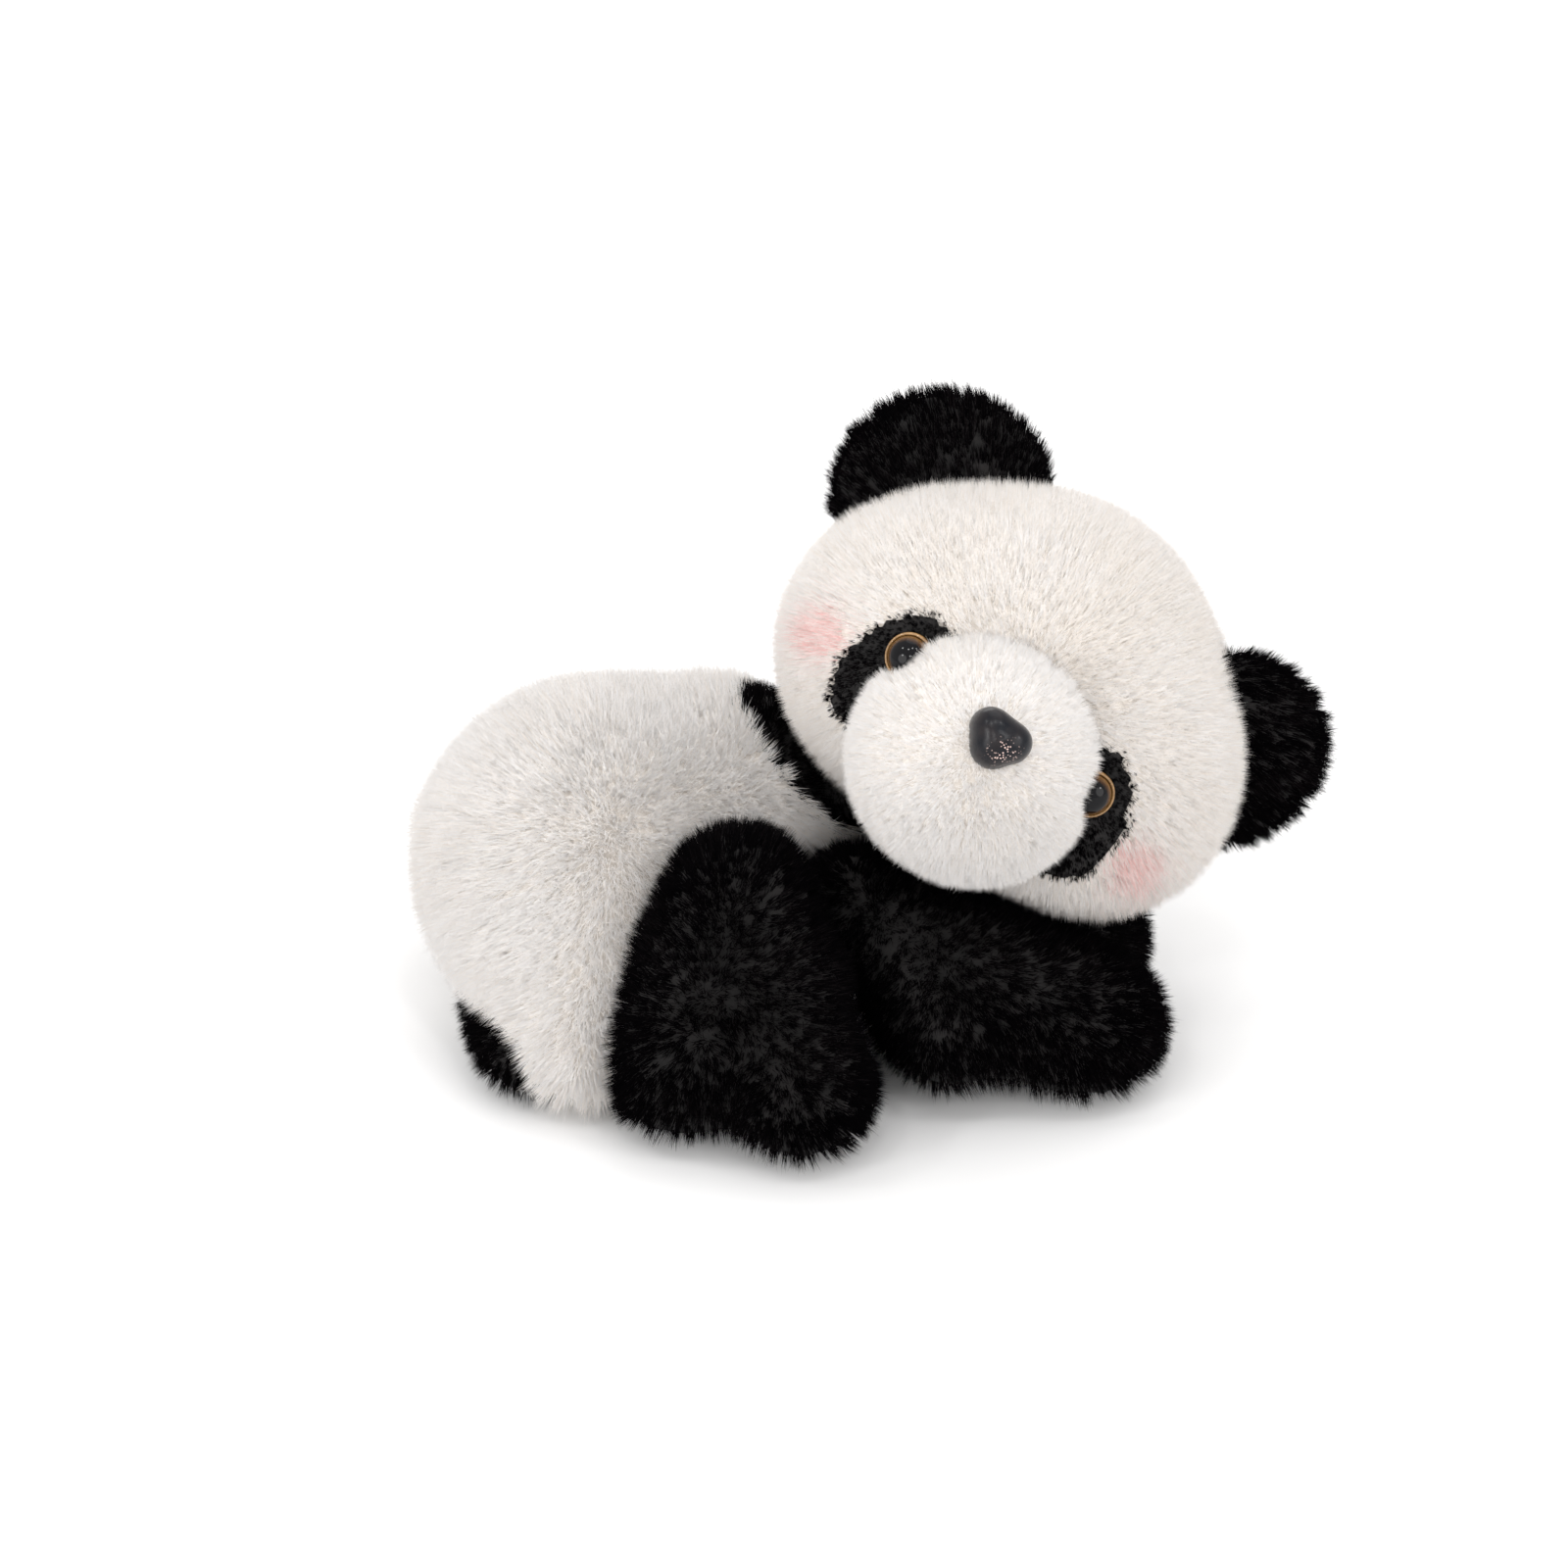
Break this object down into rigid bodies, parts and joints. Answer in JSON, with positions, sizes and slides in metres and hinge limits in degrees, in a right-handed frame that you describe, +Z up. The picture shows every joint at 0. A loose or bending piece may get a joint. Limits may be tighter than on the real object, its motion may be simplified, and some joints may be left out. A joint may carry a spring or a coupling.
{
  "type": "plush panda",
  "caption": "Long-pile plush panda curled on its left side, with a turning head, ears that fold and limbs that swing.",
  "frame": {"origin": "on the ground, under the middle of the panda's box", "axes": "+X from the rump to the head, -Y to the side that the belly and the face turn to, +Z up"},
  "size_m": [0.2434, 0.1468, 0.1624],
  "materials": {
    "white_fur": "long plush pile",
    "black_fur": "long plush pile",
    "short_pile": "short plush pile",
    "stuffing": "loose fibre",
    "pellet_cloth": "plain weave",
    "nose_plastic": "gloss with fine glitter",
    "eye_black": "gloss",
    "eye_amber": "gloss",
    "washer_plastic": "matte"
  },
  "bodies": {
    "torso": {"torso_skin": "white_fur", "shoulder_yoke": "black_fur", "torso_stuffing": "stuffing", "pellet_bag": "pellet_cloth", "tail": "white_fur"},
    "neck": {"neck_ball": "stuffing"},
    "head": {"head_skin": "white_fur", "head_stuffing": "stuffing", "muzzle_skin": "white_fur", "muzzle_stuffing": "stuffing", "nose": "nose_plastic", "nose_washer": "washer_plastic", "eye_right": "eye_black", "eye_left": "eye_black", "eye_rim_right": "eye_amber", "eye_rim_left": "eye_amber", "eye_washer_right": "washer_plastic", "eye_washer_left": "washer_plastic", "eye_patch_right": "short_pile", "eye_patch_left": "short_pile"},
    "ear_right": {"ear_right_front": "black_fur", "ear_right_back": "black_fur"},
    "ear_left": {"ear_left_front": "black_fur", "ear_left_back": "black_fur"},
    "arm_right": {"arm_right_skin": "black_fur", "arm_right_stuffing": "stuffing"},
    "arm_left": {"arm_left_skin": "black_fur", "arm_left_stuffing": "stuffing"},
    "leg_right": {"leg_right_skin": "black_fur", "leg_right_stuffing": "stuffing"},
    "leg_left": {"leg_left_skin": "black_fur", "leg_left_stuffing": "stuffing"}
  },
  "joints": [
    {"name": "head_turn", "type": "hinge", "parent": "torso", "child": "neck", "pos_m": [-0.00473, 0.02858, 0.069], "axis": [0.6018, 0.3993, 0.6916], "range_deg": [-20, 2]},
    {"name": "head_nod", "type": "hinge", "parent": "neck", "child": "head", "pos_m": [-0.00473, 0.02858, 0.069], "axis": [0.7986, -0.3009, -0.5212], "range_deg": [-12, 8]},
    {"name": "ear_right_fold", "type": "hinge", "parent": "head", "child": "ear_right", "pos_m": [0.01945, 0.05186, 0.13846], "axis": [0.9945, 0.0523, 0.0905], "range_deg": [-15, 15]},
    {"name": "ear_left_fold", "type": "hinge", "parent": "head", "child": "ear_left", "pos_m": [0.09664, 0.01824, 0.08023], "axis": [0.1473, 0.0413, -0.9882], "range_deg": [-15, 15]},
    {"name": "arm_right_swing", "type": "hinge", "parent": "torso", "child": "arm_right", "pos_m": [-0.00373, -0.00742, 0.043], "axis": [0, 0, 1], "range_deg": [-18, 0]},
    {"name": "arm_left_swing", "type": "hinge", "parent": "torso", "child": "arm_left", "pos_m": [0.00227, 0.02358, 0.021], "axis": [0, 0, 1], "range_deg": [0, 24]},
    {"name": "leg_right_swing", "type": "hinge", "parent": "torso", "child": "leg_right", "pos_m": [-0.04473, -0.04242, 0.022], "axis": [0, 0, 1], "range_deg": [-24, 0]},
    {"name": "leg_left_swing", "type": "hinge", "parent": "torso", "child": "leg_left", "pos_m": [-0.09773, 0.00358, 0.019], "axis": [0, 0, 1], "range_deg": [-22, 0]}
  ]
}
